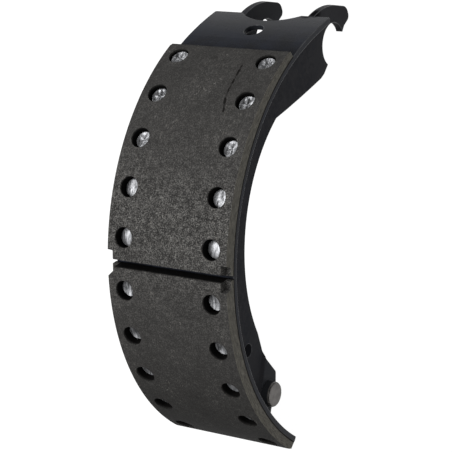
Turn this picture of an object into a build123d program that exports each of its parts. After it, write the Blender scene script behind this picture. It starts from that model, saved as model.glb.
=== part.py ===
from build123d import *
import os
from math import atan2, cos, degrees, radians, sin, sqrt

# Lined brake shoe for an open-ended, two-web, cam-operated drum brake.
# The shoe is drawn about the drum axis: X runs across the shoe, Y along it
# towards the cam end, Z out through the joint between the two lining blocks.
# All angles are measured from Z towards Y. place() then lays the shoe down as
# an arch, resting on the cam horns and on the far end of the rim plate.

# ---- driving sizes, mm and degrees -------------------------------------------
# drum and friction lining
drum_radius = 205.0
lining_width = 120.5
lining_centre_thickness = 12.0
lining_end_angle = 59.3
joint_gap_face = 7.0
joint_gap_base = 2.6
lining_end_rake = 12.0
end_bevel_length = 3.6
end_bevel_depth = 1.1
wear_step_depth = 7.0
wear_step_width = 5.5
wear_step_floor = 5.5
wear_step_ramp = 3.0

# rim plate
rim_radius_margin = 4.0
rim_thickness = 5.0
lining_overhang = 0.75
rim_cam_angle = 77.35
rim_anchor_angle = 58.8
rim_flat_angle = 64.0
rim_flat_gain = 109.0
rim_corner_radius = 2.0
relief_web_margin = 1.25
relief_depth = 13.9
access_hole_radius = 8.7
access_hole_angle = 68.3

# rivets and their holes
rivet_first_angle = 6.5
rivet_pitch_angle = 12.1
rivet_rows = 5
rivet_web_gap = 0.65
rivet_head_radius = 7.9
rivet_head_height = 1.7
rivet_shank_radius = 4.0
rivet_tail_spread = 1.4
rivet_tail_height = 2.2
rivet_tail_lip = 0.6
rivet_pit_depth = 4.0
rivet_head_clearance = 1.1
lining_under_head = 2.4
lining_under_head_rise = (0.0, 0.0, 0.3, 0.8, 1.5)
rivet_hole_clearance = 0.15
rivet_tail_clearance = 0.5

# webs
web_pitch = 70.0
web_thickness = 6.5
web_depth = 57.5
web_inner_centre = (5.1, -0.7)
web_anchor_angle = 57.8
web_offset = 3.0
web_offset_run = 2.6
web_offset_slope = 15.0
web_bend_radius = 1.6
horn_clearance = 1.2

# roller seat at the cam end, below the rim plate, and the outline round it
# as (Y, Z) steps from the seat's centre
roller_seat_depth = 32.1548
roller_seat_angle = 92.37606
roller_seat_radius = 19.75
roller_seat_span = (72.0, 5.0, -60.0)
horn_start = (28.1, 34.4)
horn_bulge = (33.6, 18.0)
horn_side = (34.9, -1.0)
horn_heel = (31.9, -23.0)
horn_toe = (21.3, -28.0)
horn_chin = (14.9, -18.9)
horn_nose = (9.3, -15.4)
horn_lip = (11.2, -3.2)
horn_lip_step = (16.1, 1.2)
seat_lip = (-24.7, 16.4)
waist_start = (-28.3, 22.0)
waist_middle = (-43.1, 65.0)
waist_angle = 50.2

# anchor seat at the other end, below the rim plate, and what stands round it
# as (Y, Z) steps from the seat's centre
anchor_seat_depth = 28.0074
anchor_seat_angle = -58.1842
anchor_seat_radius = 16.0
anchor_seat_facing = 16.0
anchor_seat_span = (-58.0, 0.0, 84.0)
foot_start = (79.0, 31.6)
foot_shoulder = (62.6, 25.1)
foot_heel = (54.4, 23.3)
foot_corner = (38.4, 7.2)
foot_sole = (28.0, 7.4)
web_offset_point = (42.0, 28.7)
pin_step = (21.9, 21.0)
spring_hole_step = (67.2, 47.9)

# spring pin and spring hole
pin_radius = 11.2
pin_stand_out = 8.0
pin_chamfer = 1.2
pin_clearance = 0.05
spring_hole_radius = 6.0

# welds
weld_leg = 5.0
weld_inner_angles = (-42.0, 63.0)
weld_stitch_margin = 3.3

# ---- sizes that follow ---------------------------------------------------------
rim_radius = drum_radius - rim_radius_margin
rim_inner_radius = rim_radius - rim_thickness
rim_flat_radius = rim_radius + rim_flat_gain
rim_width = lining_width - 2 * lining_overhang
rim_drop = rim_radius + lining_centre_thickness - drum_radius
web_inner_face = (web_pitch - web_thickness) / 2
web_outer_face = (web_pitch + web_thickness) / 2
foot_outer_face = web_outer_face + web_offset
web_inner_radius = rim_radius - web_depth
relief_half_width = web_inner_face - relief_web_margin
rivet_tail_radius = rivet_shank_radius + rivet_tail_spread
rivet_column = web_outer_face + rivet_tail_radius + rivet_web_gap
counterbore_radius = rivet_head_radius + rivet_head_clearance
row_angles = [rivet_first_angle + i * rivet_pitch_angle for i in range(rivet_rows)]


def polar(radius, angle, centre_z=0.0):
    """The (Y, Z) point at an angle from Z towards Y."""
    return (radius * sin(radians(angle)), radius * cos(radians(angle)) + centre_z)


def stepped(start, step):
    return (start[0] + step[0], start[1] + step[1])


roller_seat_centre = polar(rim_radius - roller_seat_depth, roller_seat_angle)
anchor_seat_centre = polar(rim_radius - anchor_seat_depth, anchor_seat_angle)
pin_centre = stepped(anchor_seat_centre, pin_step)
spring_hole_centre = stepped(anchor_seat_centre, spring_hole_step)


def rim_normal(angle):
    """The plate's outward direction; its bare end is bent to a larger radius."""
    past = max(angle - rim_flat_angle, 0)
    return angle - past * (1 - rim_radius / rim_flat_radius)


def rim_point(radius, angle):
    """A point at a radius about the rim plate's own centre of curvature."""
    normal = rim_normal(angle)
    y, z = polar(radius, normal, -rim_drop)
    if angle > rim_flat_angle:
        set_back = rim_flat_radius - rim_radius
        y += polar(set_back, normal)[0] - polar(set_back, rim_flat_angle)[0]
        z += polar(set_back, normal)[1] - polar(set_back, rim_flat_angle)[1]
    return (y, z)


def rim_curve(radius, start):
    """The plate's edge line from an anchor-end angle round to the cam end."""
    angles = (start, 0, rim_flat_angle, (rim_flat_angle + rim_cam_angle) / 2, rim_cam_angle)
    points = [rim_point(radius, angle) for angle in angles]
    tail, mid, bend, flat, end = [(y, z, 0) for y, z in points]
    return [ThreePointArc(tail, mid, bend), ThreePointArc(bend, flat, end)]


def rim_angle(drum_angle):
    """The rim plate's own angle under a point on the drum face."""
    y, z = polar(drum_radius, drum_angle)
    return degrees(atan2(y, z + rim_drop))


def across(profile, low, high):
    """A (Y, Z) profile carried across the shoe from X = low to X = high."""
    return Pos(low, 0, 0) * extrude(profile, high - low)


def disc(radius, centre=(0.0, 0.0)):
    return Plane.YZ * Pos(centre[0], centre[1]) * Circle(radius)


def outline(points):
    return Plane.YZ * make_face(Polyline(*[(y, z, 0) for y, z in points], close=True))


def mirrored(shape):
    return mirror(shape, about=Plane.YZ)


def rivet_places(side):
    """One block's rivets: planes on the rim plate, normal to it, and seat heights."""
    rises = lining_under_head_rise if side > 0 else [0.0] * rivet_rows
    places = []
    for row, rise in zip(row_angles, rises):
        angle = radians(rim_angle(side * row))
        y, z = rim_point(rim_radius, degrees(angle))
        for x in (-rivet_column, rivet_column):
            normal = (0, sin(angle), cos(angle))
            frame = Plane(origin=(x, y, z), x_dir=(1, 0, 0), z_dir=normal)
            places.append((frame, lining_under_head + rise))
    return places


def make_rim_plate():
    """Rolled strip with a scalloped cam end, an access hole and rivet holes."""
    outer = rim_curve(rim_radius, -rim_anchor_angle)
    inner = rim_curve(rim_inner_radius, -rim_anchor_angle)
    anchor_end = Line(outer[0] @ 0, inner[0] @ 0)
    cam_end = Line(outer[1] @ 1, inner[1] @ 1)
    section = Plane.YZ * make_face(outer + inner + [anchor_end, cam_end])
    plate = across(section, -rim_width / 2, rim_width / 2)
    ends = plate.edges().filter_by(lambda e: abs(e.length - rim_thickness) < 0.01)
    plate = fillet(ends, rim_corner_radius)

    # circular relief between the webs, cut square to the plate at the cam end
    relief_radius = (relief_half_width**2 + relief_depth**2) / (2 * relief_depth)
    end_angle = radians(rim_normal(rim_cam_angle))
    y, z = rim_point(rim_radius, rim_cam_angle)
    set_back = relief_radius - relief_depth
    centre = (0, y + set_back * cos(end_angle), z - set_back * sin(end_angle))
    relief = Plane(origin=centre, z_dir=(0, sin(end_angle), cos(end_angle)))
    plate -= relief * Cylinder(relief_radius, 12 * rim_thickness)

    hole_angle = radians(rim_normal(access_hole_angle))
    y, z = rim_point(rim_radius, access_hole_angle)
    hole = Plane(origin=(0, y, z), z_dir=(0, sin(hole_angle), cos(hole_angle)))
    plate -= hole * Cylinder(access_hole_radius, 4 * rim_thickness)

    drill = Cylinder(rivet_shank_radius + rivet_hole_clearance, 4 * rim_thickness)
    for frame, seat in rivet_places(1) + rivet_places(-1):
        plate -= frame * drill
    return plate


def make_lining_block(side):
    """One friction block: drum-radius face, rim-radius back, raked ends."""
    stock = disc(drum_radius) - disc(rim_radius, (0, -rim_drop))
    lean = (joint_gap_face - joint_gap_base) / 2 / lining_centre_thickness
    base = drum_radius - lining_centre_thickness

    def joint_end(z):
        return (side * (joint_gap_base / 2 + lean * (z - base)), z)

    face_end = polar(drum_radius, side * lining_end_angle)
    rake = side * (lining_end_angle - lining_end_rake)

    def outer_end(height):
        y, z = polar(height, rake)
        return (face_end[0] + y, face_end[1] + z)

    block = stock & outline([
        joint_end(base - 20),
        joint_end(drum_radius + 20),
        polar(1.3 * drum_radius, side * lining_end_angle / 2),
        outer_end(40),
        outer_end(-40),
    ])
    bevel_angle = degrees(end_bevel_length / drum_radius)
    block -= outline([
        polar(drum_radius, side * (lining_end_angle - bevel_angle)),
        polar(drum_radius + 10, side * (lining_end_angle - bevel_angle)),
        polar(drum_radius + 10, side * (lining_end_angle + bevel_angle)),
        polar(drum_radius - 2 * end_bevel_depth, side * (lining_end_angle + bevel_angle)),
    ])
    block = across(block, -lining_width / 2, lining_width / 2)

    # wear steps at both edges of the joint
    floor = drum_radius - wear_step_depth
    start = side * joint_gap_face / 2
    step = outline([
        (0, floor),
        (start + side * wear_step_floor, floor),
        (start + side * (wear_step_floor + wear_step_ramp), drum_radius + 1),
        (0, drum_radius + 1),
    ])
    edge = lining_width / 2
    block -= across(step, edge - wear_step_width, edge + 1)
    block -= across(step, -edge - 1, wear_step_width - edge)

    clear = Cylinder(rivet_shank_radius + rivet_hole_clearance, 4 * lining_centre_thickness)
    bottom = (Align.CENTER, Align.CENTER, Align.MIN)
    bore = Cylinder(counterbore_radius, 2 * lining_centre_thickness, align=bottom)
    for frame, seat in rivet_places(side):
        block -= frame * clear
        block -= frame * Pos(0, 0, seat) * bore
    return block


def make_rivet(seat):
    """Flat-head semi-tubular rivet, set: head up, rolled tail under the plate."""
    top = seat + rivet_head_height
    # the tail's rim meets the curved underside of the rim plate
    curve = rim_inner_radius - sqrt(rim_inner_radius**2 - rivet_tail_radius**2)
    tail = -rim_thickness - curve
    end = tail - rivet_tail_height
    half_section = Polyline(
        (0, top),
        (rivet_head_radius, top),
        (rivet_head_radius, seat),
        (rivet_shank_radius, seat),
        (rivet_shank_radius, tail),
        (rivet_tail_radius, tail),
        (rivet_shank_radius - rivet_tail_lip, end),
        (0, end + rivet_pit_depth),
        close=True,
    )
    return revolve(Plane.XZ * make_face(half_section), Axis.Z)


def web_profile():
    """The web's outline in (Y, Z), with both open seats."""
    cam_corner = rim_point(rim_inner_radius, rim_cam_angle)
    anchor_corner = rim_point(rim_inner_radius, -web_anchor_angle)
    gap_angle = degrees(horn_clearance / rim_radius)
    horn_root = rim_point(rim_inner_radius, rim_cam_angle + gap_angle)

    def at_cam(*steps):
        return [(*stepped(roller_seat_centre, step), 0) for step in steps]

    def at_anchor(*steps):
        return [(*stepped(anchor_seat_centre, step), 0) for step in steps]

    def on_inner(angle):
        return (*stepped(web_inner_centre, polar(web_inner_radius, angle)), 0)

    roller_seat = at_cam(*[polar(roller_seat_radius, angle) for angle in roller_seat_span])
    anchor_seat = at_anchor(*[
        polar(anchor_seat_radius, angle - anchor_seat_facing) for angle in anchor_seat_span
    ])
    horn_back = at_cam(horn_start, horn_bulge, horn_side)
    horn_front = at_cam(
        horn_side, horn_heel, horn_toe, horn_chin, horn_nose, horn_lip, horn_lip_step
    )
    waist = at_cam(waist_start, waist_middle)
    foot = at_anchor(foot_start, foot_shoulder, foot_heel, foot_corner, foot_sole)

    with BuildSketch() as sketch:
        with BuildLine():
            rim_curve(rim_inner_radius, -web_anchor_angle)
            Polyline((*cam_corner, 0), (*horn_root, 0), horn_back[0])
            ThreePointArc(*horn_back)
            FilletPolyline(*horn_front, roller_seat[0], radius=[10.0, 5.0, 2.0, 2.0, 1.5, 4.0])
            ThreePointArc(*roller_seat)
            FilletPolyline(roller_seat[-1], *at_cam(seat_lip), waist[0], radius=[2.0])
            ThreePointArc(*waist, on_inner(waist_angle))
            ThreePointArc(on_inner(waist_angle), on_inner(waist_angle / 6), foot[0])
            FilletPolyline(*foot, anchor_seat[-1], radius=[12.0, 4.0, 4.0, 5.0])
            ThreePointArc(*reversed(anchor_seat))
            Line(anchor_seat[0], (*anchor_corner, 0))
        make_face()
    return Plane.YZ * sketch.sketch


def make_web():
    """The right-hand web: pressed plate, stepped outwards round the anchor end."""
    slab = web_outer_face + web_offset + 10
    blank = across(web_profile(), 0, slab)

    # the plate's section across the step, carried along the step's line
    run = web_offset_run / 2
    far = 400
    section = FilletPolyline(
        (-far, web_inner_face),
        (-run, web_inner_face),
        (run, web_inner_face + web_offset),
        (far, web_inner_face + web_offset),
        radius=web_bend_radius,
    )
    upper = FilletPolyline(
        (far, foot_outer_face),
        (run, foot_outer_face),
        (-run, web_outer_face),
        (-far, web_outer_face),
        radius=web_bend_radius,
    )
    closing = [
        Line((far, web_inner_face + web_offset), (far, foot_outer_face)),
        Line((-far, web_outer_face), (-far, web_inner_face)),
    ]
    face = make_face(Curve() + [section, upper] + closing)
    slope = radians(web_offset_slope)
    line_direction = (0, -cos(slope), sin(slope))
    downhill = (0, -sin(slope), -cos(slope))
    origin = (0, *stepped(anchor_seat_centre, web_offset_point))
    frame = Plane(origin=origin, x_dir=downhill, z_dir=line_direction)
    plate = extrude(frame * face, 400, both=True)

    # only the anchor half is stepped; the cam half stays flat
    anchor_half = Pos(0, -far, 0) * Box(far, 2 * far, 2 * far)
    flat = across(web_profile(), web_inner_face, web_outer_face) - anchor_half
    web = (blank & plate & anchor_half) + flat
    # the last pair of rivets is set beside the stepped foot: room for their tails
    top = (Align.CENTER, Align.CENTER, Align.MAX)
    room = Cylinder(
        rivet_tail_radius + rivet_tail_clearance,
        rim_thickness + 2 * rivet_tail_height,
        align=top,
    )
    for frame, seat in rivet_places(-1):
        web -= frame * room
    web -= across(disc(spring_hole_radius, spring_hole_centre), 0, slab)
    web -= across(disc(pin_radius + pin_clearance, pin_centre), 0, slab)
    return web


def make_spring_pin():
    half = foot_outer_face + pin_stand_out
    pin = across(disc(pin_radius, pin_centre), -half, half)
    return chamfer(pin.edges().filter_by(GeomType.CIRCLE), pin_chamfer)


def weld_run(face_x, out, start, end):
    """A fillet weld between a web face and the rim plate, round the rim's centre."""
    y0, z0 = rim_point(0, 0)
    section = Polyline(
        (face_x, rim_inner_radius),
        (face_x + out * weld_leg, rim_inner_radius),
        (face_x, rim_inner_radius - weld_leg),
        close=True,
    )
    direction = (0, -cos(radians(start)), sin(radians(start)))
    plane = Plane(origin=(0, y0, z0), x_dir=(1, 0, 0), z_dir=direction)
    face = plane * make_face(section)
    axis = Axis((0, y0, z0), (-1, 0, 0))
    return revolve(face, axis, end - start)


def outer_weld_runs():
    """Short stitches between the rivet rows, clear of the rivet tails."""
    rows = sorted(rim_angle(side * row) for row in row_angles for side in (-1, 1))
    runs = []
    for low, high in zip(rows[1:-1], rows[2:]):
        start = low + weld_stitch_margin
        runs.append(weld_run(web_outer_face, 1, start, high - weld_stitch_margin))
    return runs


# ---- resting pose ----------------------------------------------------------------
profile_edge = web_profile().faces()[0].outer_wire()
samples = [profile_edge.position_at(i / 2000) for i in range(2000)]
rim_toe = rim_point(rim_inner_radius, -rim_anchor_angle)
rest_tilt = max(
    degrees(atan2(rim_toe[1] - p.Z, p.Y - rim_toe[0])) for p in samples if p.Y > 0
)
tilt = radians(rest_tilt)
floor_height = rim_toe[0] * sin(tilt) + rim_toe[1] * cos(tilt)


def place(shape):
    """Turn the shoe about X until both ends touch the floor, at Z = 0."""
    turned = Rot(rest_tilt, 0, 0) * shape
    return Pos(0, -middle_y, -floor_height) * turned


middle_y = 0.0
web = make_web()
rim = make_rim_plate()
blocks = {side: make_lining_block(side) for side in (1, -1)}
extent = [place(part).bounding_box() for part in (web, rim, blocks[-1])]
middle_y = (min(box.min.Y for box in extent) + max(box.max.Y for box in extent)) / 2

nodes = {
    "rim_plate": rim,
    "web_right": web,
    "web_left": mirrored(web),
    "lining_block_cam": blocks[1],
    "lining_block_anchor": blocks[-1],
    "spring_pin": make_spring_pin(),
}
inner_weld = weld_run(web_inner_face, -1, *weld_inner_angles)
outer_welds = Compound(children=outer_weld_runs())
nodes["weld_inner_right"] = inner_weld
nodes["weld_inner_left"] = mirrored(inner_weld)
nodes["weld_outer_right"] = outer_welds
nodes["weld_outer_left"] = mirrored(outer_welds)

for name, side in (("cam", 1), ("anchor", -1)):
    for number, (frame, seat) in enumerate(rivet_places(side), 1):
        nodes[f"rivet_{name}_{number:02d}"] = frame * make_rivet(seat)

os.makedirs("parts", exist_ok=True)
for name, shape in nodes.items():
    export_step(place(shape), f"parts/{name}.step")
print("rest tilt", rest_tilt, "middle", middle_y, "floor", floor_height, "nodes", len(nodes))
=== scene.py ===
import bmesh
import bpy
import numpy as np
from mathutils import Euler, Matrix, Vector


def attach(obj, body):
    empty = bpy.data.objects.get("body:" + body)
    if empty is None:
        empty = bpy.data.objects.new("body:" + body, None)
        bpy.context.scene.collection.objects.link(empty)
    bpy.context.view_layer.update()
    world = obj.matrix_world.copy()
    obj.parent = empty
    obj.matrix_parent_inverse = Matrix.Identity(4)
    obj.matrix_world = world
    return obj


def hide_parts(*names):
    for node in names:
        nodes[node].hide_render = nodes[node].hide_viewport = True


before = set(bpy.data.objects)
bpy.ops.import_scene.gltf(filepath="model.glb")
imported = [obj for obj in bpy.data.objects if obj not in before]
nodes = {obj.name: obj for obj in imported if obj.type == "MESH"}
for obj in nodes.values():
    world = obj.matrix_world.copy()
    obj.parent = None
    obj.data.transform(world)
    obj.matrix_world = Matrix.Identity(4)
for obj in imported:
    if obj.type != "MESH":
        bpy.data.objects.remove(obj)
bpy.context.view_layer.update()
mm = 0.001
print("frame loaded:", len(nodes), "nodes")

# how the shoe lies: its drum's axis runs along X, below the floor; lengths in mm
shoe = {
    "restTilt": 19.539452,     # degrees, lean of the shoe's own middle line
    "drumAxis": (1.10554, -32.07486),    # Y and Z of the drum's axis
    "drumRadius": 205.0,
    "rimDrop": 8.0,            # the rim plate's centre below the drum's
    "rimRadius": 201.0,
    "rimThickness": 5.0,
    "liningHalfWidth": 60.25,    # along X
}


def alongShoe(points):
    # shoe axes in mm to metres at rest: y' = y cos t - z sin t + y0, z' = y sin t + z cos t + z0
    t = np.radians(shoe["restTilt"])
    x, y, z = np.moveaxis(np.asarray(points, float), -1, 0)
    turned = [x, y * np.cos(t) - z * np.sin(t), y * np.sin(t) + z * np.cos(t)]
    return (np.stack(turned, -1) + [0, *shoe["drumAxis"]]) * mm


def gridMesh(name, points, closed=(False, False)):
    # a grid of points[i, j] becomes quads (i, j) (i+1, j) (i+1, j+1) (i, j+1)
    rows, columns = points.shape[:2]
    i, j = np.meshgrid(
        np.arange(rows - (not closed[0])), np.arange(columns - (not closed[1])), indexing="ij"
    )
    nextI, nextJ = (i + 1) % rows, (j + 1) % columns
    corners = [i * columns + j, nextI * columns + j, nextI * columns + nextJ, i * columns + nextJ]
    quads = np.stack([corner.ravel() for corner in corners], -1)
    mesh = bpy.data.meshes.new(name)
    mesh.from_pydata(points.reshape(-1, 3), [], quads.tolist())
    return mesh


def finishPiece(name, mesh, material, slotName, *cadNodes):
    # merge the poles, turn the faces outwards, smooth them, and stand in for the CAD nodes
    work = bmesh.new()
    work.from_mesh(mesh)
    bmesh.ops.remove_doubles(work, verts=work.verts, dist=1e-6)
    bmesh.ops.recalc_face_normals(work, faces=work.faces)
    for face in work.faces:
        face.smooth = True
    work.to_mesh(mesh)
    work.free()
    piece = bpy.data.objects.new(name, mesh)
    bpy.context.scene.collection.objects.link(piece)
    mesh.materials.append(material)
    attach(piece, "root")
    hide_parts(*cadNodes)
    return piece


rollerSeat = {
    "centre": (168.7, -7.0),   # mm, Y and Z on the shoe
    "radii": (19.75, 18.0),    # mm, at its two angles
    "angles": (72.0, 149.0),   # degrees, where the arc goes on to the horn's nose
    "margin": 5.0,             # degrees past them that still move
    "slack": 0.3,              # mm, an edge this far outside the arc still counts as inside
    "cuts": 7,                 # new points on each straight run of the outline
}


def openSeat(work):
    # carries the roller seat's arc on to the horn's nose: the outline that lies inside it moves out
    # to r = r0 + (r1 - r0) (a - a0) / (a1 - a0)
    centre = Vector(alongShoe((0, *rollerSeat["centre"])))
    lean = np.radians(shoe["restTilt"])
    radii, angles, margin = rollerSeat["radii"], rollerSeat["angles"], rollerSeat["margin"]

    def reach(vertex):
        offset = (vertex.co - centre) / mm
        return np.hypot(offset.y, offset.z)

    limit = radii[1] + rollerSeat["slack"]
    near = [e for e in work.edges if all(reach(v) < limit for v in e.verts)]
    runs = [e for e in near if abs(e.verts[0].co.x - e.verts[1].co.x) < 0.1 * mm]
    bmesh.ops.subdivide_edges(work, edges=runs, cuts=rollerSeat["cuts"], use_grid_fill=True)
    for vertex in work.verts:
        offset = (vertex.co - centre) / mm
        angle = np.degrees(np.arctan2(offset.y, offset.z) + lean)
        target = np.interp(angle, angles, radii)
        if reach(vertex) < target and angles[0] - margin < angle < angles[1] + margin:
            vertex.co.yz = centre.yz + offset.yz * (target / reach(vertex)) * mm


springHole = {
    "centre": (-79.8, 139.1),  # mm, Y and Z on the shoe
    "reach": 9.0,              # mm, round the centre, holds the hole and nothing else
    "innerFace": 33.0,         # mm, |x| under which a point is on the web's inner face
    "taper": 0.72,
}


def taperSpringHole(work):
    # the punched hole narrows towards the inner face: r' = taper r there
    hole = Vector(alongShoe((0, *springHole["centre"])))
    for vertex in work.verts:
        offset = (vertex.co - hole) / mm
        near = np.hypot(offset.y, offset.z) < springHole["reach"]
        if near and abs(offset.x) < springHole["innerFace"]:
            vertex.co.yz = hole.yz + offset.yz * springHole["taper"] * mm


softEdge = {
    "flatAngle": 0.3,          # degrees, triangles flatter to each other than this are joined
    "sharpAngle": 30.0,        # degrees, edges sharper than this are rounded
    "sideFace": 0.9,           # |x| of a normal over which a face looks along X
    "segments": 2,
}


def softened(name, width, slotName, *materials):
    # a CAD node's copy: its triangles merged, flats joined and each sharp edge rounded to width mm;
    # the materials are for its faces, the faces that look along X and the rounded edges
    work = bmesh.new()
    work.from_mesh(nodes[name].data)
    bmesh.ops.remove_doubles(work, verts=work.verts, dist=1e-6)
    flat, sharp = np.radians(softEdge["flatAngle"]), np.radians(softEdge["sharpAngle"])
    bmesh.ops.dissolve_limit(work, angle_limit=flat, verts=work.verts, edges=work.edges)
    if name.startswith("web"):
        openSeat(work)
        taperSpringHole(work)
    bmesh.ops.recalc_face_normals(work, faces=work.faces)
    for face in work.faces:
        face.smooth = True
        face.material_index = int(abs(face.normal.x) > softEdge["sideFace"])
    mesh = bpy.data.meshes.new(name + "Softened")
    work.to_mesh(mesh)
    work.free()
    mesh.set_sharp_from_angle(angle=sharp)
    for material in materials:
        mesh.materials.append(material)
    piece = bpy.data.objects.new(name + "Softened", mesh)
    bpy.context.scene.collection.objects.link(piece)
    edges = piece.modifiers.new("roundedEdges", "BEVEL")
    edges.width = width * mm
    edges.segments = softEdge["segments"]
    edges.limit_method = "ANGLE"
    edges.angle_limit = sharp
    edges.use_clamp_overlap = False
    edges.harden_normals = True
    edges.material = len(materials) - 1
    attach(piece, "root")
    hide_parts(name)
    return piece


def toLinear(hexColour):
    # sRGB byte c: c/12.92 below 0.04045, else ((c + 0.055)/1.055)^2.4
    c = np.array([int(hexColour[k:k + 2], 16) / 255 for k in (1, 3, 5)])
    linear = np.where(c <= 0.04045, c / 12.92, ((c + 0.055) / 1.055) ** 2.4)
    return (*linear.tolist(), 1.0)


def addNode(tree, kind, settings={}, links={}):
    # one node: settings fill its properties, ramp stops and sockets, links feed its sockets;
    # a link given as a node means that node's first output
    node = tree.nodes.new(kind)
    for key, value in settings.items():
        if key == "stops":
            band = node.color_ramp.elements
            while len(band) < len(value):
                band.new(0.5)
            for element, (position, hexColour) in zip(band, value):
                element.position = position
                element.color = toLinear(hexColour)
        elif isinstance(key, str) and hasattr(node, key):
            setattr(node, key, value)
        else:
            node.inputs[key].default_value = value
    for key, source in links.items():
        output = source.outputs[0] if hasattr(source, "outputs") else source
        tree.links.new(output, node.inputs[key])
    return node


def newMaterial(name):
    material = bpy.data.materials.new(name)
    material.use_nodes = True
    tree = material.node_tree
    tree.nodes.clear()
    shader = addNode(tree, "ShaderNodeBsdfPrincipled")
    addNode(tree, "ShaderNodeOutputMaterial", {}, {"Surface": shader})
    return material, tree, shader


def shoePlaces(tree):
    # where a point lies on the shoe: x, |x|, angle on the drum in degrees, radius from the drum's
    # axis and height over the rim plate's top, in mm
    place = addNode(tree, "ShaderNodeTexCoord").outputs["Object"]
    inMm = addNode(tree, "ShaderNodeVectorMath", {"operation": "SCALE", "Scale": 1 / mm},
                   {0: place})
    x = addNode(tree, "ShaderNodeSeparateXYZ", {}, {0: inMm}).outputs["X"]
    across = addNode(tree, "ShaderNodeMath", {"operation": "ABSOLUTE"}, {0: x})
    flat = addNode(tree, "ShaderNodeVectorMath", {"operation": "MULTIPLY", 1: (0, 1, 1)}, {0: inMm})
    axis = (0, *shoe["drumAxis"])
    t = np.radians(shoe["restTilt"])
    rimAxis = (0, axis[1] + shoe["rimDrop"] * np.sin(t), axis[2] - shoe["rimDrop"] * np.cos(t))
    radius = addNode(tree, "ShaderNodeVectorMath", {"operation": "DISTANCE", 1: axis}, {0: flat})
    rimSpan = addNode(tree, "ShaderNodeVectorMath", {"operation": "DISTANCE", 1: rimAxis},
                      {0: flat})
    overRim = addNode(tree, "ShaderNodeMath", {"operation": "SUBTRACT", 1: shoe["rimRadius"]},
                      {0: rimSpan.outputs["Value"]})
    offset = addNode(tree, "ShaderNodeVectorMath", {"operation": "SUBTRACT", 1: axis}, {0: flat})
    parts = addNode(tree, "ShaderNodeSeparateXYZ", {}, {0: offset})
    lean = addNode(tree, "ShaderNodeMath", {"operation": "ARCTAN2"},
                   {0: parts.outputs["Y"], 1: parts.outputs["Z"]})
    angle = addNode(tree, "ShaderNodeMath",
                    {"operation": "MULTIPLY_ADD", 1: 180 / np.pi, 2: shoe["restTilt"]}, {0: lean})
    return {"place": place, "x": x, "across": across, "angle": angle,
            "radius": radius.outputs["Value"], "overRim": overRim}


liningLook = {
    "ground": "#3b3a39",       # cured resin and rubber dust
    "deep": "#171716",         # pores and dark filler
    "pale": "#72716e",         # ground filler
    "fleck": "#989691",        # fibre ends
    "side": "#686660",
    "sidePale": "#a5a196",
    "scratch": "#a09c94",
    "dustAndShade": "#100f0f",         # painted shade on the counterbore walls and in the seam
    "crack": "#1a1918",
    "smudge": "#181716",
    "grainMm": 1.05,           # the speckle
    "coarseMm": 4.5,           # lumps in it
    "patchMm": 26.0,           # slow drifts across a block
    "fleckMm": 1.7,
    "coarseShare": 0.35,
    "grainStops": (0.54, 0.69, 0.88),    # where the grain is deep, ground and pale
    # share of the grain everywhere, and what the rubbed band adds
    "contrast": (0.24, 0.55),
    # a mark comes in between the two noise levels of its range; both are masked by the slow patches
    "curlRange": (0.66, 0.78),
    "curlShare": 0.55,
    "scratchScale": (1.9, 0.6, 1),    # per mm across, per degree along
    "scratchRange": (0.62, 0.74),
    "scratchShare": 0.5,
    "patchRange": (0.42, 0.66),
    # brightness everywhere, what the rubbed band adds as a painted sheen, and what the patches add
    "liftWithPaintedLight": (0.88, 0.28, 0.25),
    # painted shade: from and to which degrees the face darkens towards the anchor end, and to what
    # share
    "paintedAnchorShade": (-24.0, -50.0, 0.5),
    "rubbedAndSheenMiddle": 10.0,      # degrees, where the rubbed band and its painted sheen are brightest
    "rubbedAndSheenSpread": 16.0,
    "paintedShadeDepths": (0.5, 2.5),  # mm below the face, where the painted shade starts and is full
    "paintedShadeReach": 54.6,         # mm, |x| inside which the walls get painted shade
    "paintedShadeShare": 0.95,
    "seamShadeHeights": (1.7, 0.9),     # mm over the rim plate, where the seam's painted shade starts and is full
    "sawnScale": (0.3, 0.5, 1.1),    # per mm across, per degree along, per mm deep
    "sawnStops": (0.40, 0.72),
    "sawnSpeckle": 0.3,
    "fraySize": 2.8,           # mm, the whole width that a mark's edge wanders over
    "faceDepth": 0.6,          # mm under the face where marks stop
    "roughness": 0.62,
    "specular": 0.02,
    "crackPath": [(24.4, 53.2), (24.7, 48.3), (24.6, 44.0), (28.1, 39.4)],    # x in mm, degrees
    "crackWidths": (0.6, 2.1),     # mm, hairline and blots
    "blotRange": (0.42, 0.7),
    # x in mm, degrees, size in mm, share
    "smudges": [(-7.1, 55.1, 4.0, 0.5), (3.0, 54.3, 3.0, 0.3), (3.0, -36.0, 3.5, 0.25),
                (0.6, -44.0, 4.0, 0.3)],
}


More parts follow.
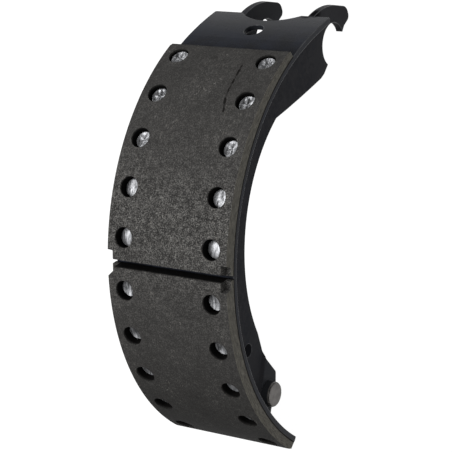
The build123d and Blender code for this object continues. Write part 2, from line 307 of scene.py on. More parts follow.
def frictionLining():
    # moulded friction composite, ground to radius: dry dark resin speckled with pale filler and
    # fibre ends, a dull sheen painted in as a lighter band round the rubbed middle
    look = liningLook
    material, tree, shader = newMaterial("mouldedFrictionLining")
    at = shoePlaces(tree)
    place = at["place"]
    grain = addNode(tree, "ShaderNodeTexNoise",
                    {"Scale": 1 / (look["grainMm"] * mm), "Detail": 2.0, "Roughness": 0.6},
                    {"Vector": place})
    coarse = addNode(tree, "ShaderNodeTexNoise",
                     {"Scale": 1 / (look["coarseMm"] * mm), "Detail": 3.0},
                     {"Vector": place})
    patch = addNode(tree, "ShaderNodeTexNoise",
                    {"Scale": 1 / (look["patchMm"] * mm), "Detail": 3.0},
                    {"Vector": place})

    # speckle: the grain plus a share of the coarser lumps, strongest on the rubbed middle band,
    # which fades as exp(-((a - middle) / spread)^2); the same band carries the painted sheen
    lumps = addNode(tree, "ShaderNodeMath", {"operation": "MULTIPLY_ADD", 1: look["coarseShare"]},
                    {0: coarse, 2: grain})
    away = addNode(tree, "ShaderNodeMath", {"operation": "SUBTRACT", 1: look["rubbedAndSheenMiddle"]},
                   {0: at["angle"]})
    away = addNode(tree, "ShaderNodeMath", {"operation": "DIVIDE", 1: look["rubbedAndSheenSpread"]},
                   {0: away})
    away = addNode(tree, "ShaderNodeMath", {"operation": "MULTIPLY"}, {0: away, 1: away})
    rubbed = addNode(tree, "ShaderNodeMath", {"operation": "MULTIPLY", 1: -1.0}, {0: away})
    rubbed = addNode(tree, "ShaderNodeMath", {"operation": "EXPONENT"}, {0: rubbed})
    shades = (look["deep"], look["ground"], look["pale"])
    fine = addNode(tree, "ShaderNodeValToRGB", {"stops": list(zip(look["grainStops"], shades))},
                   {0: lumps})
    low, more = look["contrast"]
    contrast = addNode(tree, "ShaderNodeMath", {"operation": "MULTIPLY_ADD", 1: more, 2: low},
                       {0: rubbed})
    face = addNode(tree, "ShaderNodeMix", {"data_type": "RGBA", 6: toLinear(look["ground"])},
                   {0: contrast, 7: fine}).outputs[2]

    # pale fibre ends, as short curls
    curls = addNode(tree, "ShaderNodeTexNoise",
                    {"Scale": 1 / (look["fleckMm"] * mm), "Detail": 1.0, "Distortion": 1.4},
                    {"Vector": place})
    start, end = look["curlRange"]
    curls = addNode(tree, "ShaderNodeMapRange", {"From Min": start, "From Max": end}, {0: curls})
    start, end = look["patchRange"]
    sparse = addNode(tree, "ShaderNodeMapRange", {"From Min": start, "From Max": end}, {0: patch})
    curls = addNode(tree, "ShaderNodeMath", {"operation": "MULTIPLY"}, {0: curls, 1: sparse})
    curls = addNode(tree, "ShaderNodeMath", {"operation": "MULTIPLY", 1: look["curlShare"]},
                    {0: curls})
    face = addNode(tree, "ShaderNodeMix", {"data_type": "RGBA", 7: toLinear(look["fleck"])},
                   {0: curls, 6: face}).outputs[2]

    # short scratches along the drum, 0.5 mm wide
    unrolled = addNode(tree, "ShaderNodeCombineXYZ", {}, {0: at["x"], 1: at["angle"]})
    drawn = addNode(tree, "ShaderNodeMapping", {"Scale": look["scratchScale"]},
                    {"Vector": unrolled})
    scratch = addNode(tree, "ShaderNodeTexNoise", {"Scale": 1.0, "Detail": 2.0}, {"Vector": drawn})
    start, end = look["scratchRange"]
    scratch = addNode(tree, "ShaderNodeMapRange",
                      {"From Min": start, "From Max": end, "To Max": look["scratchShare"]},
                      {0: scratch})
    scratch = addNode(tree, "ShaderNodeMath", {"operation": "MULTIPLY"}, {0: scratch, 1: sparse})
    face = addNode(tree, "ShaderNodeMix", {"data_type": "RGBA", 7: toLinear(look["scratch"])},
                   {0: scratch, 6: face}).outputs[2]

    # painted sheen: the rubbed band is made lighter as a highlight, and slow patches drift through
    # the rest
    base, band, drift = look["liftWithPaintedLight"]
    liftWithPaintedLight = addNode(tree, "ShaderNodeMath", {"operation": "MULTIPLY_ADD", 1: band, 2: base},
                   {0: rubbed})
    liftWithPaintedLight = addNode(tree, "ShaderNodeMath", {"operation": "MULTIPLY_ADD", 1: drift},
                   {0: patch, 2: liftWithPaintedLight})
    # painted shade: the face darkens towards the anchor end, where it turns away from the light
    start, end, share = look["paintedAnchorShade"]
    paintedAnchorShade = addNode(tree, "ShaderNodeMapRange",
                     {"From Min": start, "From Max": end, "To Min": 1.0, "To Max": share},
                     {0: at["angle"]})
    liftWithPaintedLight = addNode(tree, "ShaderNodeMath", {"operation": "MULTIPLY"}, {0: liftWithPaintedLight, 1: paintedAnchorShade})
    face = addNode(tree, "ShaderNodeMix", {"data_type": "RGBA", "blend_type": "MULTIPLY", 0: 1.0},
                   {6: face, 7: liftWithPaintedLight}).outputs[2]

    # sawn sides: browner and paler, with chalky rubbed streaks
    onDrum = addNode(tree, "ShaderNodeCombineXYZ", {},
                     {0: at["x"], 1: at["angle"], 2: at["radius"]})
    sawn = addNode(tree, "ShaderNodeMapping", {"Scale": look["sawnScale"]}, {"Vector": onDrum})
    chalk = addNode(tree, "ShaderNodeTexNoise", {"Scale": 1.0, "Detail": 5.0, "Roughness": 0.7},
                    {"Vector": sawn})
    shades = (look["side"], look["sidePale"])
    side = addNode(tree, "ShaderNodeValToRGB", {"stops": list(zip(look["sawnStops"], shades))},
                   {0: chalk})
    side = addNode(tree, "ShaderNodeMix", {"data_type": "RGBA", 0: look["sawnSpeckle"]},
                   {6: side, 7: fine}).outputs[2]
    onSide = addNode(tree, "ShaderNodeMath",
                     {"operation": "GREATER_THAN", 1: shoe["liningHalfWidth"] - 0.05},
                     {0: at["across"]})
    colour = addNode(tree, "ShaderNodeMix", {"data_type": "RGBA"},
                     {0: onSide, 6: face, 7: side}).outputs[2]

    # painted shade: counterbore and joint walls below the rubbed face darken with depth, as the
    # seam does
    depth = addNode(tree, "ShaderNodeMath", {"operation": "SUBTRACT", 0: shoe["drumRadius"]},
                    {1: at["radius"]})
    start, end = look["paintedShadeDepths"]
    wallShade = addNode(tree, "ShaderNodeMapRange",
                   {"From Min": start, "From Max": end, "To Max": look["paintedShadeShare"]}, {0: depth})
    inside = addNode(tree, "ShaderNodeMath", {"operation": "LESS_THAN", 1: look["paintedShadeReach"]},
                     {0: at["across"]})
    wallShade = addNode(tree, "ShaderNodeMath", {"operation": "MULTIPLY"}, {0: wallShade, 1: inside})
    start, end = look["seamShadeHeights"]
    seamShade = addNode(tree, "ShaderNodeMapRange",
                   {"From Min": start, "From Max": end, "To Max": look["paintedShadeShare"]},
                   {0: at["overRim"]})
    low = addNode(tree, "ShaderNodeMath", {"operation": "MAXIMUM"}, {0: wallShade, 1: seamShade})
    colour = addNode(tree, "ShaderNodeMix", {"data_type": "RGBA", 7: toLinear(look["dustAndShade"])},
                     {0: low, 6: colour}).outputs[2]

    # the face unrolled to (x, arc) for marks that lie on it, its edges frayed by a small noise
    arc = addNode(tree, "ShaderNodeMath",
                  {"operation": "MULTIPLY", 1: np.pi / 180 * shoe["drumRadius"]},
                  {0: at["angle"]})
    flat = addNode(tree, "ShaderNodeCombineXYZ", {}, {0: at["x"], 1: arc})
    fray = addNode(tree, "ShaderNodeTexNoise", {"Scale": 0.45, "Detail": 6.0, "Roughness": 0.8},
                   {"Vector": flat})
    size = look["fraySize"]
    fray = addNode(tree, "ShaderNodeVectorMath",
                   {"operation": "MULTIPLY_ADD", 1: (size, size, 0), 2: (-size / 2, -size / 2, 0)},
                   {0: fray.outputs["Color"]})
    flat = addNode(tree, "ShaderNodeVectorMath", {"operation": "ADD"}, {0: flat, 1: fray})
    onFace = addNode(tree, "ShaderNodeMath", {"operation": "LESS_THAN", 1: look["faceDepth"]},
                     {0: depth})

    # a hairline crack: distance to each of its runs, thickened here and there by blots
    path = [(x, np.radians(degrees) * shoe["drumRadius"]) for x, degrees in look["crackPath"]]
    nearest = None
    for (x0, s0), (x1, s1) in zip(path[:-1], path[1:]):
        run = Vector((x1 - x0, s1 - s0, 0))
        offset = addNode(tree, "ShaderNodeVectorMath", {"operation": "SUBTRACT", 1: (x0, s0, 0)},
                         {0: flat})
        along = addNode(tree, "ShaderNodeVectorMath",
                        {"operation": "DOT_PRODUCT", 1: run / run.length_squared}, {0: offset})
        along = addNode(tree, "ShaderNodeMapRange", {}, {0: along.outputs["Value"]})
        foot = addNode(tree, "ShaderNodeVectorMath", {"operation": "SCALE", 0: run},
                       {"Scale": along})
        near = addNode(tree, "ShaderNodeVectorMath", {"operation": "DISTANCE"},
                       {0: offset, 1: foot})
        near = near.outputs["Value"]
        if nearest is None:
            nearest = near
        else:
            nearest = addNode(tree, "ShaderNodeMath", {"operation": "MINIMUM"},
                              {0: nearest, 1: near})
    thin, thick = look["crackWidths"]
    start, end = look["blotRange"]
    blots = addNode(tree, "ShaderNodeMapRange",
                    {"From Min": start, "From Max": end, "To Min": thin, "To Max": thick},
                    {0: coarse})
    crack = addNode(tree, "ShaderNodeMath", {"operation": "SUBTRACT", "use_clamp": True},
                    {0: blots, 1: nearest})
    crack = addNode(tree, "ShaderNodeMath", {"operation": "MULTIPLY"}, {0: crack, 1: onFace})
    colour = addNode(tree, "ShaderNodeMix", {"data_type": "RGBA", 7: toLinear(look["crack"])},
                     {0: crack, 6: colour}).outputs[2]

    # darker rubbed smudges
    for x, degrees, size, strength in look["smudges"]:
        middle = (x, np.radians(degrees) * shoe["drumRadius"], 0)
        spot = addNode(tree, "ShaderNodeVectorMath", {"operation": "DISTANCE", 1: middle},
                       {0: flat})
        spot = addNode(tree, "ShaderNodeMapRange",
                       {"From Min": size, "From Max": 0.0, "To Max": strength},
                       {0: spot.outputs["Value"]})
        spot = addNode(tree, "ShaderNodeMath", {"operation": "MULTIPLY"}, {0: spot, 1: onFace})
        colour = addNode(tree, "ShaderNodeMix", {"data_type": "RGBA", 7: toLinear(look["smudge"])},
                         {0: spot, 6: colour}).outputs[2]

    tree.links.new(colour, shader.inputs["Base Color"])
    shader.inputs["Roughness"].default_value = look["roughness"]
    shader.inputs["Specular IOR Level"].default_value = look["specular"]
    pores = addNode(tree, "ShaderNodeBump", {"Strength": 0.35, "Distance": 0.3 * mm},
                    {"Height": lumps})
    split = addNode(tree, "ShaderNodeBump", {"Strength": 0.6, "Distance": -0.5 * mm},
                    {"Height": crack, "Normal": pores})
    tree.links.new(split.outputs[0], shader.inputs["Normal"])
    return material


paintLook = {
    "dark": "#0d0f15",
    "light": "#161a24",
    "wornAndHighlight": "#3b3c3f",         # film rubbed thin over the steel; also the painted highlight at the rim plate's cam end
    "dustAndShade": "#55534f",
    # painted shade where the horns leave the plate
    "hornShade": "#070708",
    "edge": "#323235",         # sheared edges, where the film is thin
    "glossDrift": 0.08,        # roughness either side of the finish's own
    "hornShadeDulls": 0.6,          # roughness that full painted shade adds
    "hornShadeHeights": (-5.0, -1.0),    # mm over the rim plate's top, where the painted shade starts and is full
    # x in mm, degrees, size in mm, share
    "hornShadeSpots": [(21.0, 80.2, 3.0, 0.8), (28.0, 80.2, 4.5, 0.9), (36.0, 79.8, 7.5, 1.0),
              (44.0, 79.9, 5.0, 0.8), (36.0, 83.5, 8.0, 0.9)],
    "cloudMm": 22.0,
    "rubMm": 7.0,
    # noise levels between which a mark comes in, then its share
    "rubbedRange": (0.62, 0.74, 0.1),
    "dustMm": 1.6,
    "dustRange": (0.68, 0.76, 0.06),
    "wearRange": (0.3, 0.6),
    "wearLeast": 0.3,          # share of the sheared edges that is thin everywhere
    "peelMm": 2.5,             # orange peel
    "dipMm": 30.0,             # slow waves of the pressed plate
}
# each finish of the enamel: |x| in mm between which its sheared edges lie, and from and to which
# degrees and by what share the film greys towards the cam end (a painted highlight on the rim
# plate) and towards the anchor end
enamels = {
    "satinBlackEnamel": {"specular": 0.05, "roughness": 0.27, "cutFaces": None,
                         "camGreyAndHighlight": (67, 82, 1.0), "footGrey": (-47, -60, 0.4)},
    "shearedRimEdge": {"specular": 0.14, "roughness": 0.5, "cutFaces": None,
                       "camGreyAndHighlight": (67, 84, 0.6), "footGrey": (-47, -60, 0.2)},
    "dullBlackEnamel": {"specular": 0.03, "roughness": 0.50, "cutFaces": (31.9, 41.1),
                        "camGreyAndHighlight": (76, 88, 1.0), "footGrey": (-25, -46, 0.8)},
}


def blackEnamel(name):
    # dipped black enamel over pressed steel: a thin dark film with a soft broad gloss, dusty,
    # rubbed thin on the sheared edges and greyer towards the ends; on the rim plate the cam end's
    # greying is a painted highlight
    look, finish = paintLook, enamels[name]
    material, tree, shader = newMaterial(name)
    at = shoePlaces(tree)
    place = at["place"]
    cloud = addNode(tree, "ShaderNodeTexNoise",
                    {"Scale": 1 / (look["cloudMm"] * mm), "Detail": 4.0},
                    {"Vector": place})
    colour = addNode(tree, "ShaderNodeValToRGB",
                     {"stops": [(0.35, look["dark"]), (0.65, look["light"])]},
                     {0: cloud})
    rub = addNode(tree, "ShaderNodeTexNoise",
                  {"Scale": 1 / (look["rubMm"] * mm), "Detail": 6.0, "Roughness": 0.72,
                   "Distortion": 0.6},
                  {"Vector": place})
    start, end, share = look["rubbedRange"]
    rubbed = addNode(tree, "ShaderNodeMapRange",
                     {"From Min": start, "From Max": end, "To Max": share},
                     {0: rub})
    colour = addNode(tree, "ShaderNodeMix", {"data_type": "RGBA", 7: toLinear(look["wornAndHighlight"])},
                     {0: rubbed, 6: colour}).outputs[2]
    specks = addNode(tree, "ShaderNodeTexNoise", {"Scale": 1 / (look["dustMm"] * mm)},
                     {"Vector": place})
    start, end, share = look["dustRange"]
    specks = addNode(tree, "ShaderNodeMapRange",
                     {"From Min": start, "From Max": end, "To Max": share},
                     {0: specks})
    colour = addNode(tree, "ShaderNodeMix", {"data_type": "RGBA", 7: toLinear(look["dustAndShade"])},
                     {0: specks, 6: colour}).outputs[2]
    # the greying towards the cam end: a paler film on the webs, a painted highlight on the rim
    # plate
    start, end, share = finish["camGreyAndHighlight"]
    endGreyAndHighlight = addNode(tree, "ShaderNodeMapRange",
                      {"From Min": start, "From Max": end, "To Max": share},
                      {0: at["angle"]})
    start, end, share = finish["footGrey"]
    foot = addNode(tree, "ShaderNodeMapRange",
                   {"From Min": start, "From Max": end, "To Max": share},
                   {0: at["angle"]})
    endGreyAndHighlight = addNode(tree, "ShaderNodeMath", {"operation": "MAXIMUM"}, {0: endGreyAndHighlight, 1: foot})
    colour = addNode(tree, "ShaderNodeMix", {"data_type": "RGBA", 7: toLinear(look["wornAndHighlight"])},
                     {0: endGreyAndHighlight, 6: colour}).outputs[2]
    if finish["cutFaces"]:
        start, end = finish["cutFaces"]
        past = addNode(tree, "ShaderNodeMath", {"operation": "GREATER_THAN", 1: start},
                       {0: at["across"]})
        before = addNode(tree, "ShaderNodeMath", {"operation": "LESS_THAN", 1: end},
                         {0: at["across"]})
        edge = addNode(tree, "ShaderNodeMath", {"operation": "MULTIPLY"}, {0: past, 1: before})
        start, end = look["wearRange"]
        wear = addNode(tree, "ShaderNodeMapRange",
                       {"From Min": start, "From Max": end, "To Min": look["wearLeast"]}, {0: rub})
        edge = addNode(tree, "ShaderNodeMath", {"operation": "MULTIPLY"}, {0: edge, 1: wear})
        colour = addNode(tree, "ShaderNodeMix", {"data_type": "RGBA", 7: toLinear(look["edge"])},
                         {0: edge, 6: colour}).outputs[2]

    # painted shade where the horns leave the plate: full level with its top, none under it; each
    # spot fades from a third of its size to its whole size
    arc = addNode(tree, "ShaderNodeMath",
                  {"operation": "MULTIPLY", 1: np.pi / 180 * shoe["rimRadius"]},
                  {0: at["angle"]})
    flat = addNode(tree, "ShaderNodeCombineXYZ", {}, {0: at["x"], 1: arc})
    start, end = look["hornShadeHeights"]
    onTop = addNode(tree, "ShaderNodeMapRange", {"From Min": start, "From Max": end},
                    {0: at["overRim"]})
    hornShade = None
    for x, degrees, size, strength in look["hornShadeSpots"]:
        middle = (x, np.radians(degrees) * shoe["rimRadius"], 0)
        spot = addNode(tree, "ShaderNodeVectorMath", {"operation": "DISTANCE", 1: middle},
                       {0: flat})
        spot = addNode(tree, "ShaderNodeMapRange",
                       {"From Min": size, "From Max": size / 3, "To Max": strength},
                       {0: spot.outputs["Value"]})
        spot = addNode(tree, "ShaderNodeMath", {"operation": "MULTIPLY"}, {0: spot, 1: onTop})
        if hornShade is None:
            hornShade = spot
        else:
            hornShade = addNode(tree, "ShaderNodeMath", {"operation": "MAXIMUM"}, {0: spot, 1: hornShade})
    colour = addNode(tree, "ShaderNodeMix", {"data_type": "RGBA", 7: toLinear(look["hornShade"])},
                     {0: hornShade, 6: colour}).outputs[2]
    tree.links.new(colour, shader.inputs["Base Color"])
    low, high = finish["roughness"] - look["glossDrift"], finish["roughness"] + look["glossDrift"]
    gloss = addNode(tree, "ShaderNodeMapRange", {"To Min": low, "To Max": high}, {0: cloud})
    gloss = addNode(tree, "ShaderNodeMath", {"operation": "MULTIPLY_ADD", 1: look["hornShadeDulls"]},
                    {0: hornShade, 2: gloss})
    tree.links.new(gloss.outputs[0], shader.inputs["Roughness"])
    shader.inputs["Specular IOR Level"].default_value = finish["specular"]
    peel = addNode(tree, "ShaderNodeTexNoise", {"Scale": 1 / (look["peelMm"] * mm), "Detail": 3.0},
                   {"Vector": place})
    peel = addNode(tree, "ShaderNodeBump", {"Strength": 0.3, "Distance": 0.1 * mm},
                   {"Height": peel})
    dips = addNode(tree, "ShaderNodeTexNoise", {"Scale": 1 / (look["dipMm"] * mm)},
                   {"Vector": place})
    dips = addNode(tree, "ShaderNodeBump", {"Strength": 0.15, "Distance": 0.6 * mm},
                   {"Height": dips, "Normal": peel})
    tree.links.new(dips.outputs[0], shader.inputs["Normal"])
    return material


edgeLook = {
    "dark": "#1a1c20",
    "light": "#424347",
    "rubMm": 5.0,
    "roughness": 0.35,
    "specular": 0.26,
}


def thinEdgeAndHighlight():
    # enamel drawn thin round a pressed corner: greyer, painted lighter as a highlight line, and
    # glossy
    look = edgeLook
    material, tree, shader = newMaterial("thinEnamelEdgeAndHighlight")
    place = addNode(tree, "ShaderNodeTexCoord").outputs["Object"]
    rub = addNode(tree, "ShaderNodeTexNoise", {"Scale": 1 / (look["rubMm"] * mm), "Detail": 4.0},
                  {"Vector": place})
    colour = addNode(tree, "ShaderNodeValToRGB",
                     {"stops": [(0.4, look["dark"]), (0.7, look["light"])]},
                     {0: rub})
    tree.links.new(colour.outputs[0], shader.inputs["Base Color"])
    shader.inputs["Roughness"].default_value = look["roughness"]
    shader.inputs["Specular IOR Level"].default_value = look["specular"]
    return material


beadLook = {
    "dark": "#141518",
    "light": "#26272b",
    "cloudMm": 4.0,
    "spatterMm": 0.9,
    "roughness": (0.3, 0.6),
    "specular": 0.3,
}


def weldBead():
    # painted fillet weld: the enamel pools between the ripples and shines on their crests
    look = beadLook
    material, tree, shader = newMaterial("paintedWeldBead")
    place = addNode(tree, "ShaderNodeTexCoord").outputs["Object"]
    cloud = addNode(tree, "ShaderNodeTexNoise",
                    {"Scale": 1 / (look["cloudMm"] * mm), "Detail": 4.0, "Roughness": 0.6},
                    {"Vector": place})
    colour = addNode(tree, "ShaderNodeValToRGB",
                     {"stops": [(0.35, look["dark"]), (0.65, look["light"])]},
                     {0: cloud})
    tree.links.new(colour.outputs[0], shader.inputs["Base Color"])
    low, high = look["roughness"]
    gloss = addNode(tree, "ShaderNodeMapRange", {"To Min": low, "To Max": high}, {0: cloud})
    tree.links.new(gloss.outputs[0], shader.inputs["Roughness"])
    shader.inputs["Specular IOR Level"].default_value = look["specular"]
    spatter = addNode(tree, "ShaderNodeTexNoise",
                      {"Scale": 1 / (look["spatterMm"] * mm), "Detail": 3.0},
                      {"Vector": place})
    bump = addNode(tree, "ShaderNodeBump", {"Strength": 0.5, "Distance": 0.12 * mm},
                   {"Height": spatter})
    tree.links.new(bump.outputs[0], shader.inputs["Normal"])
    return material


headLook = {
    "dark": "#4e4f51",         # lining dust in the hollows
    "light": "#a8a9ac",        # where the punch pressed it bright
    # per metre: 1.6 mm wide across the drum, several times as long
    "streaks": (620, 130, 130),
    "dentMm": 0.6,
    "metallic": 0.6,
    "roughness": (0.30, 0.46),
}


def rivetAluminium():
    # cold-headed aluminium: bright where the punch pressed it, wiped along the drum and dulled by
    # lining dust in the hollows
    look = headLook
    material, tree, shader = newMaterial("pressedAluminiumRivet")
    place = addNode(tree, "ShaderNodeTexCoord").outputs["Object"]
    wiped = addNode(tree, "ShaderNodeMapping", {"Scale": look["streaks"]}, {"Vector": place})
    cloud = addNode(tree, "ShaderNodeTexNoise", {"Scale": 1.0, "Detail": 3.0, "Roughness": 0.6},
                    {"Vector": wiped})
    colour = addNode(tree, "ShaderNodeValToRGB",
                     {"stops": [(0.38, look["dark"]), (0.62, look["light"])]},
                     {0: cloud})
    tree.links.new(colour.outputs[0], shader.inputs["Base Color"])
    shader.inputs["Metallic"].default_value = look["metallic"]
    low, high = look["roughness"]
    gloss = addNode(tree, "ShaderNodeMapRange", {"To Min": low, "To Max": high}, {0: cloud})
    tree.links.new(gloss.outputs[0], shader.inputs["Roughness"])
    dents = addNode(tree, "ShaderNodeTexNoise", {"Scale": 1 / (look["dentMm"] * mm), "Detail": 3.0},
                    {"Vector": place})
    bump = addNode(tree, "ShaderNodeBump", {"Strength": 0.4, "Distance": 0.05 * mm},
                   {"Height": dents})
    tree.links.new(bump.outputs[0], shader.inputs["Normal"])
    return material


pinLook = {
    "dark": "#524f4d",
    "light": "#7a7774",
    "cloudMm": 6.0,
    # per metre: a line every 0.7 mm along Z, wavering slowly along Y
    "sawLines": (300, 180, 1500),
    "metallic": 0.5,
    "roughness": (0.38, 0.62),
}


def pinSteel():
    # sawn bright bar that has browned: fine saw lines on the ends under a thin grey-brown oxide
    look = pinLook
    material, tree, shader = newMaterial("oxidisedBarSteel")
    place = addNode(tree, "ShaderNodeTexCoord").outputs["Object"]
    cloud = addNode(tree, "ShaderNodeTexNoise",
                    {"Scale": 1 / (look["cloudMm"] * mm), "Detail": 5.0, "Roughness": 0.65},
                    {"Vector": place})
    colour = addNode(tree, "ShaderNodeValToRGB",
                     {"stops": [(0.3, look["dark"]), (0.7, look["light"])]},
                     {0: cloud})
    tree.links.new(colour.outputs[0], shader.inputs["Base Color"])
    shader.inputs["Metallic"].default_value = look["metallic"]
    low, high = look["roughness"]
    gloss = addNode(tree, "ShaderNodeMapRange", {"To Min": low, "To Max": high}, {0: cloud})
    tree.links.new(gloss.outputs[0], shader.inputs["Roughness"])
    stretched = addNode(tree, "ShaderNodeMapping", {"Scale": look["sawLines"]}, {"Vector": place})
    lines = addNode(tree, "ShaderNodeTexNoise", {"Scale": 1.0, "Detail": 3.0},
                    {"Vector": stretched})
    bump = addNode(tree, "ShaderNodeBump", {"Strength": 0.5, "Distance": 0.08 * mm},
                   {"Height": lines})
    tree.links.new(bump.outputs[0], shader.inputs["Normal"])
    return material


liningMaterial = frictionLining()
rimMaterial = blackEnamel("satinBlackEnamel")
rimSideMaterial = blackEnamel("shearedRimEdge")
edgeMaterial = thinEdgeAndHighlight()
webMaterial = blackEnamel("dullBlackEnamel")
weldMaterial = weldBead()
rivetMaterial = rivetAluminium()
pinMaterial = pinSteel()
materialOf = {"lining": liningMaterial, "rim": rimMaterial, "web": webMaterial,
              "weld": weldMaterial, "rivet": rivetMaterial, "spring": pinMaterial}
for name, node in nodes.items():
    node.data.materials.clear()
    node.data.materials.append(materialOf[name.split("_")[0]])
print("materials on the frame")

softened("rim_plate", 0.6, "black_paint", rimMaterial, rimSideMaterial, edgeMaterial)
softened("web_right", 0.5, "black_paint", webMaterial, webMaterial, edgeMaterial)
softened("web_left", 0.5, "black_paint", webMaterial, webMaterial, edgeMaterial)
softened("spring_pin", 0.9, "bare_steel", webMaterial, pinMaterial, pinMaterial)
print("edges rounded")

rivet = {
    "firstAngle": 6.5,         # degrees on the drum
    "pitchAngle": 12.1,
    "rows": 5,
    "column": 44.3,            # mm from the middle
    "headRadius": 7.9,
    "headHeight": 1.7,
    "headRound": 0.5,
    # by row from the joint, cam block under 1 and anchor block under -1: mm, domed heads positive,
    # dished heads negative
    "crowns": {1: (0.8, 0.5, -0.7, -1.1, -1.1), -1: (-0.9, -1.4, -1.5, -1.2, -1.0)},
    "underHead": 2.4,
    "camRises": (0.0, 0.0, 0.3, 0.8, 1.5),     # mm that the cam block's seats rise by row
    "shankRadius": 4.0,
    "tailRadius": 5.4,
    "tailHeight": 2.2,
    "starPoints": 5,
    "starStart": 0.6,          # mm from the axis
    "starMargin": 1.0,         # mm inside the head's edge
    "starFade": 1.6,           # mm over which the mark deepens at both
    "starDepths": {1: (0.06, 0.1, 0.35, 0.9, 0.8), -1: (0.06, 0.06, 0.1, 0.1, 0.1)},
    "dimples": {1: (0.0, 0.0, 0.2, 0.5, 0.5), -1: (0.0, 0.0, 0.1, 0.1, 0.1)},
    "dimpleRadius": 1.1,
    "sectors": 96,
}


def rivetSurface(side, row, column, seat, seed):
    # a profile (r, h) turned about the rivet's axis; on the head's top
    # h = top + crown (1 - (r/R)^2) - depth * band(r) * |sin(n a / 2)|^1.5 - dimple * exp(-(r/d)^2),
    # where band rises from 0 at the axis and falls back to 0 at the edge: a star-shaped punch mark
    angle = np.radians(side * (rivet["firstAngle"] + row * rivet["pitchAngle"]))
    faceY, faceZ = shoe["drumRadius"] * np.sin(angle), shoe["drumRadius"] * np.cos(angle)
    lean = np.arctan2(faceY, faceZ + shoe["rimDrop"])
    head, corner, top = rivet["headRadius"], rivet["headRound"], seat + rivet["headHeight"]
    shank, tailR, tail = rivet["shankRadius"], rivet["tailRadius"], -shoe["rimThickness"]
    inner = np.linspace(0, head - corner, 22)
    rim = np.radians(np.linspace(0, 90, 6))
    tailEnd = tail - rivet["tailHeight"]
    # under the head, down the shank and round the upset tail with its punched hollow
    below = [(head, seat), (shank + 0.2, seat), (shank, seat - 0.2), (shank, tail),
             (tailR, tail - 0.1), (tailR - 0.2, tail - 0.6), (shank - 0.4, tailEnd),
             (2.4, tailEnd + 0.4), (1.4, tailEnd + 2.4), (0.0, tailEnd + 2.8)]
    profileR = np.concatenate([inner, head - corner + corner * np.sin(rim), [r for r, h in below]])
    profileH = np.concatenate([np.full(len(inner), top), top - corner + corner * np.cos(rim),
                               [h for r, h in below]])
    turn = np.linspace(0, 2 * np.pi, rivet["sectors"], endpoint=False)
    r, a = np.meshgrid(profileR, turn, indexing="ij")
    h = np.repeat(profileH[:, None], len(turn), 1)
    phase = np.random.default_rng(seed).uniform(0, 2 * np.pi)
    start, margin, fade = rivet["starStart"], rivet["starMargin"], rivet["starFade"]
    band = np.clip((r - start) / fade, 0, 1) * np.clip((head - margin - r) / fade, 0, 1)
    star = np.abs(np.sin(rivet["starPoints"] * (a + phase) / 2)) ** 1.5
    onTop = (np.arange(len(profileR)) < len(inner))[:, None]
    crown = rivet["crowns"][side][row] * ((1 - r / (head - corner)) * (1 + r / (head - corner)))
    dimple = rivet["dimples"][side][row] * np.exp(-((r / rivet["dimpleRadius"]) ** 2))
    h = h + onTop * (crown - rivet["starDepths"][side][row] * band * star - dimple)
    # shoe axes: the rivet's axis leans with the rim plate's normal
    up = np.array([0, np.sin(lean), np.cos(lean)])
    aside = np.array([0, np.cos(lean), -np.sin(lean)])
    base = np.array([column, 0, -shoe["rimDrop"]]) + shoe["rimRadius"] * up
    ring = np.cos(a)[..., None] * np.array([1.0, 0, 0]) + np.sin(a)[..., None] * aside
    return alongShoe(base + r[..., None] * ring + h[..., None] * up)


for side, block in ((1, "cam"), (-1, "anchor")):
    number = 0
    for row in range(rivet["rows"]):
        for column in (-rivet["column"], rivet["column"]):
            number += 1
            seat = rivet["underHead"] + (rivet["camRises"][row] if side > 0 else 0)
            points = rivetSurface(side, row, column, seat, 100 * number + side)
            name = f"{block}Rivet{number:02d}"
            mesh = gridMesh(name, points, (False, True))
            finishPiece(name, mesh, rivetMaterial, "rivet_aluminium", f"rivet_{block}_{number:02d}")
print("rivets set")

weld = {
    "leg": 5.0,
    "innerFace": 31.75,
    "outerFace": 38.25,
    "innerAngles": (-42.0, 63.0),
    "stitchMargin": 3.3,       # degrees clear of each rivet row
    "rippleMm": 3.4,
    "rippleDepth": 0.28,
    "bulge": 0.35,             # mm, the bead's crown over a flat slope
    "taperMm": 3.0,
    "stepMm": 0.6,             # between the surface's rows
}


def weldSurface(faceX, out, start, end):
    # a fillet carried round the rim plate's centre: a bulged slope between its two legs,
    # shrunk by a ripple 1 - d/2 |sin(pi s / p)| along the run and tapered at both ends
    inner = shoe["rimRadius"] - shoe["rimThickness"]
    length = np.radians(end - start) * inner
    s = np.linspace(0, length, max(int(length / weld["stepMm"]), 12))
    taper = np.sqrt(np.clip(np.minimum(s, length - s) / weld["taperMm"], 0, 1))
    wave = 1 - weld["rippleDepth"] / 2 * np.abs(np.sin(np.pi * s / weld["rippleMm"]))
    size = (weld["leg"] * taper * wave)[:, None]
    u = np.linspace(0, 1, 9)
    bulge = np.append(np.sin(np.pi * u), 0.0) * weld["bulge"] / weld["leg"]
    x = faceX + out * size * (np.append(1 - u, 0.0) + bulge)
    r = inner - size * (np.append(u, 0.0) + bulge)
    angle = (np.radians(start) + s / inner)[:, None]
    return alongShoe(np.stack([x, r * np.sin(angle), r * np.cos(angle) - shoe["rimDrop"]], -1))


def rimAngle(drumAngle):
    # the rim plate's own angle under a point of the drum face: atan2(R sin a, R cos a + drop)
    a = np.radians(drumAngle)
    up = shoe["drumRadius"] * np.cos(a) + shoe["rimDrop"]
    return np.degrees(np.arctan2(shoe["drumRadius"] * np.sin(a), up))


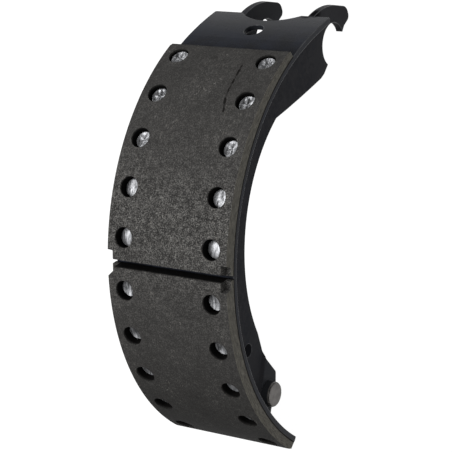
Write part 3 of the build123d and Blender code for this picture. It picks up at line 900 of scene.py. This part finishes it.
rowAngles = [rivet["firstAngle"] + row * rivet["pitchAngle"] for row in range(rivet["rows"])]
lines = sorted(rimAngle(side * angle) for angle in rowAngles for side in (-1, 1))
margin = weld["stitchMargin"]
stitches = [(a + margin, b - margin) for a, b in zip(lines[1:-1], lines[2:])]
for side, word in ((1, "right"), (-1, "left")):
    runs = [(weld["innerFace"], -1, *weld["innerAngles"], f"weld_inner_{word}",
             f"innerBead_{word}")]
    for number, (start, end) in enumerate(stitches):
        name = f"outerStitch{number}_{word}"
        runs.append((weld["outerFace"], 1, start, end, f"weld_outer_{word}", name))
    for faceX, out, start, end, cadNode, name in runs:
        points = weldSurface(side * faceX, side * out, start, end)
        mesh = gridMesh(name, points, (False, True))
        finishPiece(name, mesh, weldMaterial, "weld_black", cadNode)
print("welds laid")

# lamps: power in W, sizes and places in m
studio = {
    "floorColour": "#5c5c5c",
    "floorRoughness": 0.9,
    "floorHalf": 8.0,
    "floorGlow": 0.98,         # how white the floor is to the camera and in reflections
    "worldStrength": 0.33,
    "keyPower": 45.0,
    "keySize": (1.7, 1.4),
    "keyPlace": (-0.88, -0.42, 2.15),
    "backPower": 11.0,
    "backSize": (1.1, 0.7),
    "backPlace": (-1.1, 1.5, 1.25),
    "fillPower": 5.5,
    "fillSize": (1.0, 1.0),
    "fillPlace": (1.7, -0.3, 0.5),
    "aim": (0.0, 0.0, 0.08),
    "cameraPlace": (825.882, -114.485, 1371.594),    # mm
    "cameraTurn": (9.8896, 31.4458, 11.7703),        # degrees, about X, Y, Z
    "lensMm": 140.404,
    "sensorMm": 36.0,
    "clipEnd": 40,
}


def makeFloor():
    # pale matt paper: it shows white to the camera and in reflections, and keeps the shadow
    half = studio["floorHalf"]
    corners = [[[-half, -half, 0], [-half, half, 0]], [[half, -half, 0], [half, half, 0]]]
    mesh = gridMesh("floor", np.array(corners))
    material, tree, shader = newMaterial("mattPaperFloor")
    shader.inputs["Base Color"].default_value = toLinear(studio["floorColour"])
    shader.inputs["Roughness"].default_value = studio["floorRoughness"]
    shader.inputs["Specular IOR Level"].default_value = 0.0
    rays = addNode(tree, "ShaderNodeLightPath").outputs
    seen = addNode(tree, "ShaderNodeMath", {"operation": "MAXIMUM"},
                   {0: rays["Is Camera Ray"], 1: rays["Is Glossy Ray"]})
    seen = addNode(tree, "ShaderNodeMath", {"operation": "MAXIMUM"},
                   {0: seen, 1: rays["Is Transmission Ray"]})
    glow = addNode(tree, "ShaderNodeMath", {"operation": "MULTIPLY", 1: studio["floorGlow"]},
                   {0: seen})
    light = addNode(tree, "ShaderNodeEmission", {"Color": (1, 1, 1, 1)}, {"Strength": glow})
    both = addNode(tree, "ShaderNodeAddShader", {}, {0: shader, 1: light})
    output = next(node for node in tree.nodes if node.bl_idname == "ShaderNodeOutputMaterial")
    tree.links.new(both.outputs[0], output.inputs["Surface"])
    floor = bpy.data.objects.new("floor", mesh)
    bpy.context.scene.collection.objects.link(floor)
    mesh.materials.append(material)


def makeLamp(name, power, size, place):
    # a rectangular soft box aimed at the shoe, its first side level
    lamp = bpy.data.lights.new(name, "AREA")
    lamp.shape = "RECTANGLE"
    lamp.size, lamp.size_y = size
    lamp.energy = power
    holder = bpy.data.objects.new(name, lamp)
    holder.location = place
    sight = Vector(studio["aim"]) - Vector(place)
    holder.rotation_euler = sight.to_track_quat("-Z", "Y").to_euler()
    bpy.context.scene.collection.objects.link(holder)


def makeWorld():
    # an even white surround that lifts the shadows
    world = bpy.data.worlds.new("studioWorld")
    bpy.context.scene.world = world
    world.use_nodes = True
    tree = world.node_tree
    tree.nodes.clear()
    sky = addNode(tree, "ShaderNodeBackground",
                  {"Color": (1, 1, 1, 1), "Strength": studio["worldStrength"]})
    addNode(tree, "ShaderNodeOutputWorld", {}, {"Surface": sky})


def makeCamera():
    # a long lens looking down on the lining, its up towards the cam end
    data = bpy.data.cameras.new("camera")
    data.lens = studio["lensMm"]
    data.sensor_width = studio["sensorMm"]
    data.clip_end = studio["clipEnd"]
    camera = bpy.data.objects.new("camera", data)
    camera.location = Vector(studio["cameraPlace"]) * mm
    camera.rotation_euler = Euler([np.radians(a) for a in studio["cameraTurn"]], "XYZ")
    bpy.context.scene.collection.objects.link(camera)
    bpy.context.scene.camera = camera


makeFloor()
makeLamp("keyBox", studio["keyPower"], studio["keySize"], studio["keyPlace"])
makeLamp("backBox", studio["backPower"], studio["backSize"], studio["backPlace"])
makeLamp("fillBox", studio["fillPower"], studio["fillSize"], studio["fillPlace"])
makeWorld()
makeCamera()
bpy.context.scene.view_settings.view_transform = "Standard"
print("studio ready")
